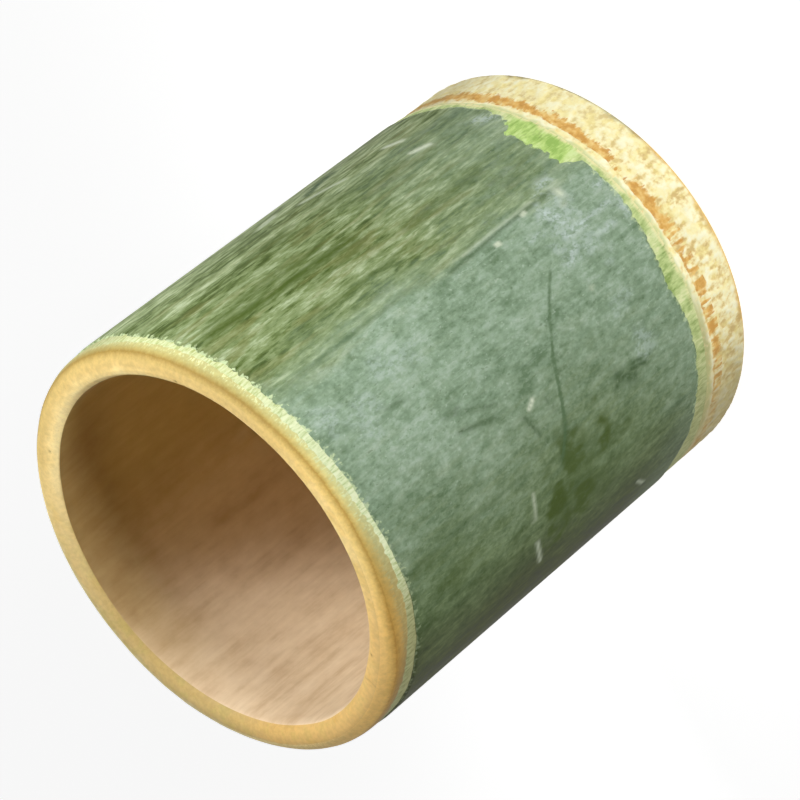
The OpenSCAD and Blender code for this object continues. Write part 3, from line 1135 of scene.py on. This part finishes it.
def make_lining():
    lip_runs = spread(wood_end_edge, lip_inner_run + 1, 10)
    lip_r, lip_z = lip_surface(lip_runs, turns_of(lip_runs))
    wall_z = spread(LIP_Z - LIP_INNER_R - 1.5, FILLET_TOP, 36)
    wall_turn = turns_of(wall_z)
    fine_ripple = 0.05 * lifted(wall_noise(wall_turn, wall_z, 240, 22, 131))
    wide_ripple = 0.08 * lifted(wall_noise(wall_turn, wall_z, 18, 50, 132))
    crisp_low = LIP_Z - LIP_REACH
    rise = np.clip((wall_z - crisp_low) / (crisp_centre[1] - crisp_low), 0, 1)
    narrow = through(wall_turn, CRISP_LIP) * rise * (CAVITY_R - crisp_centre[0] + CRISP_R)
    r = np.concatenate([lip_r, CAVITY_R - narrow + fine_ripple + wide_ripple])
    z = np.concatenate([lip_z, wall_z])
    turn = turns_of(z)
    # Painted shade on the lining: over its shaded side, and more of it next to the lip
    masks = {"hollow_shade": zone("hollow_shade", turn), "shade": zone("lining_mouth_shade", turn) * step(z, 82, 94)}
    hidden = [(LINING_R, FILLET_TOP), (LINING_R, lip_z[0] - SUNK)]
    ring("hollow_lining", "cavity_lining", lining_material("hollow_lining"), r, z, hidden, masks)


SHAVED_DEPTH = 0.28


def fibre_relief(z):
    """Shaved fibres from 0, a torn hollow, to 1, a ridge."""
    turn = turns_of(z)
    chips = 0.7 * wall_noise(turn, z, 340, 1.6, 141) + 0.6 * wall_noise(turn, z, 160, 2.2, 142)
    return np.clip(0.5 + 0.5 * chips, 0, 1)


def shaved(z):
    """Radius of the shaved wood at the node and the foot."""
    return BARK_R - SHAVED_DEPTH * (1 - fibre_relief(z))


def make_node():
    below = spread(NODE_LOW, scar_low_edge, 8)
    above = spread(scar_top_edge, NODE_TOP, 10)
    smoothed = step(above, scar_top_edge, NODE_TOP)
    above_r = shaved(above) * (1 - smoothed) + (BARK_R - UNDERLAP) * smoothed
    r = np.concatenate([shaved(below), rows_of(SCAR_R, SCAR_R), above_r])
    z = np.concatenate([below, rows_of(scar_low_edge, scar_top_edge), above])
    turn = turns_of(z)
    level = z + 0.5 * wall_noise(turn, z, 150, 2, 143) - NODE_TOP
    # The node's dark side: a duller strip over the leaf scar and a greener one under the bark, partly painted
    # shade
    dark_side = zone("dark_node", turn)
    masks = {
        "relief": np.concatenate([fibre_relief(below), rows_of(0, 0), 0.4 + 0.6 * fibre_relief(above)]),
        "dull": np.maximum(zone("dull", turn), 0.5 * dark_side * step(z, SCAR_TOP - 0.2, SCAR_TOP + 0.8)),
        "calm": zone("calm", turn),
        "green": np.maximum(0.8 * step(level, -1.1, 0), dark_side * step(level, -2.0, -0.8)),
    }
    hidden = [(LINING_R, NODE_TOP), (LINING_R, NODE_LOW)]
    ring("node_band", "node_ring", node_material("node_wood"), r, z, hidden, masks)


# The leaf scar's orange: its strength, its middle and how far it reaches from there, as (turn, value) points
SCAR_PATCHES = [
    (-180, 0.7), (-150, 0.9), (-120, 0.5), (-90, 0.45), (-62, 0.4), (-55, 0.8), (-30, 0.85), (-12, 1.0),
    (6, 0.9), (8, 0.1), (10.5, 0.1), (11.5, 0.7), (12.5, 0.1), (14.5, 0.1), (16, 0.9), (45, 1.0), (80, 0.9),
    (120, 0.6), (150, 0.95),
]
SCAR_MIDDLE = [
    (-180, 9.6), (-90, 9.2), (-45, 9.2), (-30, 9.3), (-15, 9.6), (0, 10.0), (10, 10.1), (22, 9.7), (120, 9.6),
]
SCAR_REACH = [(-180, 1.7), (-90, 1.4), (-45, 2.9), (-30, 3.0), (-15, 2.5), (20, 1.9), (75, 2.0), (120, 1.8)]


def make_scar():
    z = spread(scar_low_edge, scar_top_edge, 18)
    turn = turns_of(z)
    reach = through(TURN, SCAR_REACH) * (0.7 + 0.8 * teeth(TURN, 153))
    aside = np.abs(z - through(turn, SCAR_MIDDLE) - 0.2 * round_noise(turn, 90, 155)) / reach
    gaps = (1 - step(round_noise(turn, 330, 157), -0.25, 0.25)) * step(scar_top_edge - z, 0.2, 0.8)
    strength = through(turn, SCAR_PATCHES) * (1 - 0.8 * zone("strands", turn) * gaps)
    masks = {
        "patch": strength * (1 - step(aside, 0.0, 1.2)) + 0.1 * wall_noise(turn, z, 90, 3, 151),
        "dull": zone("dull_scar", turn),
        "relief": fibre_relief(z),
        "calm": zone("calm", turn),
    }
    hidden = [(SCAR_R, scar_top_edge), (SCAR_R, scar_low_edge)]
    ring("scar_band", "leaf_scar", scar_material(), shaved(z), z, hidden, masks)


def make_foot():
    runs = spread(foot_lining_end, foot_path.run[-1], 36)
    r, z, out_r, out_z = foot_path.at(runs)
    turn = turns_of(runs)
    ridges = fibre_relief(z)
    outside = step(r, BARK_R - FOOT_OUTER_R, BARK_R) * step(z, 0.2, 2.5)
    depth = SHAVED_DEPTH * (1 - ridges) * outside
    masks = {look: zone(look, turn) for look in ("grey", "dull", "calm")}
    masks["relief"] = ridges * outside + (1 - outside) * 0.6
    masks["worn"] = 1 - step(z + 0.6 * wall_noise(turn, z, 90, 2, 161), 0.7, 2.0)
    r = r - out_r * depth
    z = z - out_z * depth
    hidden = [(LINING_R, NODE_LOW), (LINING_R, z[0] + 1)]
    ring("foot_stub", "foot_wall", node_material("foot_wood"), r, z, hidden, masks)


def make_foot_recess():
    r, z = foot_path.place(spread(0, foot_lining_end, 24))
    r = r + 0.06 * lifted(wall_noise(turns_of(z), z, 200, 6, 171)) * step(z, 0.8, 2)
    hidden = [(LINING_R, z[-1] + 1), (LINING_R, FLOOR_LOW)]
    ring("foot_recess", "foot_lining", lining_material("recess_lining"), r, z, hidden)


def make_floor_disc():
    flat_r = CAVITY_R - FILLET_R
    share = np.concatenate([[0], np.linspace(0.02, 1, 26)])
    dish = FLOOR_DIP * (1 - share ** 2)
    under = np.stack([flat_r * share, FLOOR_LOW - dish], 1)
    fillet = arc((flat_r, FILLET_TOP), FILLET_R, 0, -90)[::6]
    upper = np.stack([flat_r * share, FLOOR_TOP - dish], 1)[-2::-1]
    side = [(CAVITY_R, FLOOR_LOW), (LINING_R, FLOOR_LOW), (LINING_R, FILLET_TOP)]
    section = np.concatenate([under, side, fillet, upper])
    r = np.broadcast_to(section[:, :1], (len(section), SEGMENTS))
    turn = turns_of(r)
    inside = window(r, 0, 3, CAVITY_R - 1, CAVITY_R)
    fine_rough = 0.18 * lifted(wall_noise(turn, 2 * r, 60, 3, 181))
    wide_rough = 0.25 * lifted(wall_noise(turn, 2 * r, 7, 18, 182))
    upward = np.where(np.arange(len(section)) < len(under), 1, -1)[:, None]
    z = section[:, 1:] + upward * inside * (fine_rough + wide_rough)
    masks = {"ring": lifted(np.cos(r * 1.3 + 2.4 * wall_noise(turn, 2 * r, 9, 20, 183))) * inside}
    piece = turned_piece("floor_disc", r, z, len(section), masks, disc=True)
    dress(piece, "node_diaphragm", floor_wood_material())


# Stage: floor, lights and camera
LENS = 181.5
CAMERA_AIM = (0.2, 0.0, 48.3)
CAMERA_DISTANCE = 695.8
CAMERA_ELEVATION = 36.94
CAMERA_ROLL = 128.56


def direction(azimuth, elevation):
    """The way to a point round the cup: azimuth 0 is the front, 90 is +X."""
    a = np.radians(azimuth)
    e = np.radians(elevation)
    return Vector((np.sin(a) * np.cos(e), -np.cos(a) * np.cos(e), np.sin(e)))


def make_camera():
    back = direction(0, CAMERA_ELEVATION)
    level = Vector((1, 0, 0))
    above = back.cross(level)
    roll = np.radians(CAMERA_ROLL)
    up = np.sin(roll) * level + np.cos(roll) * above
    right = np.cos(roll) * level - np.sin(roll) * above
    data = bpy.data.cameras.new("camera")
    data.lens = LENS
    camera = bpy.data.objects.new("camera", data)
    turned = Matrix((right, up, back)).transposed().to_4x4()
    camera.matrix_world = Matrix.Translation((Vector(CAMERA_AIM) + back * CAMERA_DISTANCE) * MM) @ turned
    bpy.context.scene.collection.objects.link(camera)
    bpy.context.scene.camera = camera


def make_light(name, place, aim, wide, high, power, beam=180):
    """A panel of light at a place that faces another, with a grid that keeps its beam within an angle."""
    data = bpy.data.lights.new(name, "AREA")
    data.shape = "RECTANGLE"
    data.size = wide * MM
    data.size_y = high * MM
    data.energy = power
    data.spread = np.radians(beam)
    light = bpy.data.objects.new(name, data)
    light.location = place * MM
    light.rotation_mode = "QUATERNION"
    light.rotation_quaternion = (place - aim).to_track_quat("Z", "Y")
    bpy.context.scene.collection.objects.link(light)


def make_lights():
    mouth = Vector((0, 0, LIP_Z))
    make_light(
        "mouth_light", mouth + 220 * direction(77, 40), mouth, wide=100, high=100, power=0.043, beam=38,
    )
    make_light("top_light", mouth + 300 * direction(185, 62), mouth, wide=150, high=150, power=0.034, beam=30)
    middle = Vector((0, 0, LIP_Z * 0.55))
    make_light("front_light", middle + 700 * direction(3, 10), middle, wide=200, high=100, power=2.12)


def make_floor():
    half = 6.0
    corners = [(-half, -half, 0), (half, -half, 0), (half, half, 0), (-half, half, 0)]
    mesh = bpy.data.meshes.new("stage_floor")
    mesh.from_pydata(corners, [], [(0, 1, 2, 3)])
    floor = bpy.data.objects.new("stage_floor", mesh)
    bpy.context.scene.collection.objects.link(floor)
    s = Shader("stage_floor", roughness=0.9, specular=0.1)
    s.surface.inputs["Base Color"].default_value = (0.4, 0.4, 0.4, 1)
    s.surface.inputs["Emission Color"].default_value = (1, 1, 1, 1)
    s.surface.inputs["Emission Strength"].default_value = 0.92
    mesh.materials.append(s.material)


def make_world():
    world = bpy.data.worlds.new("world")
    world.use_nodes = True
    world.node_tree.nodes["Background"].inputs["Color"].default_value = (1, 1, 1, 1)
    world.node_tree.nodes["Background"].inputs["Strength"].default_value = 0.03
    bpy.context.scene.world = world


make_camera()
make_floor()
make_world()
make_lights()
bpy.context.scene.view_settings.view_transform = "Standard"

make_skin()
make_bark()
make_lip()
make_lining()
make_node()
make_scar()
make_foot()
make_foot_recess()
make_floor_disc()
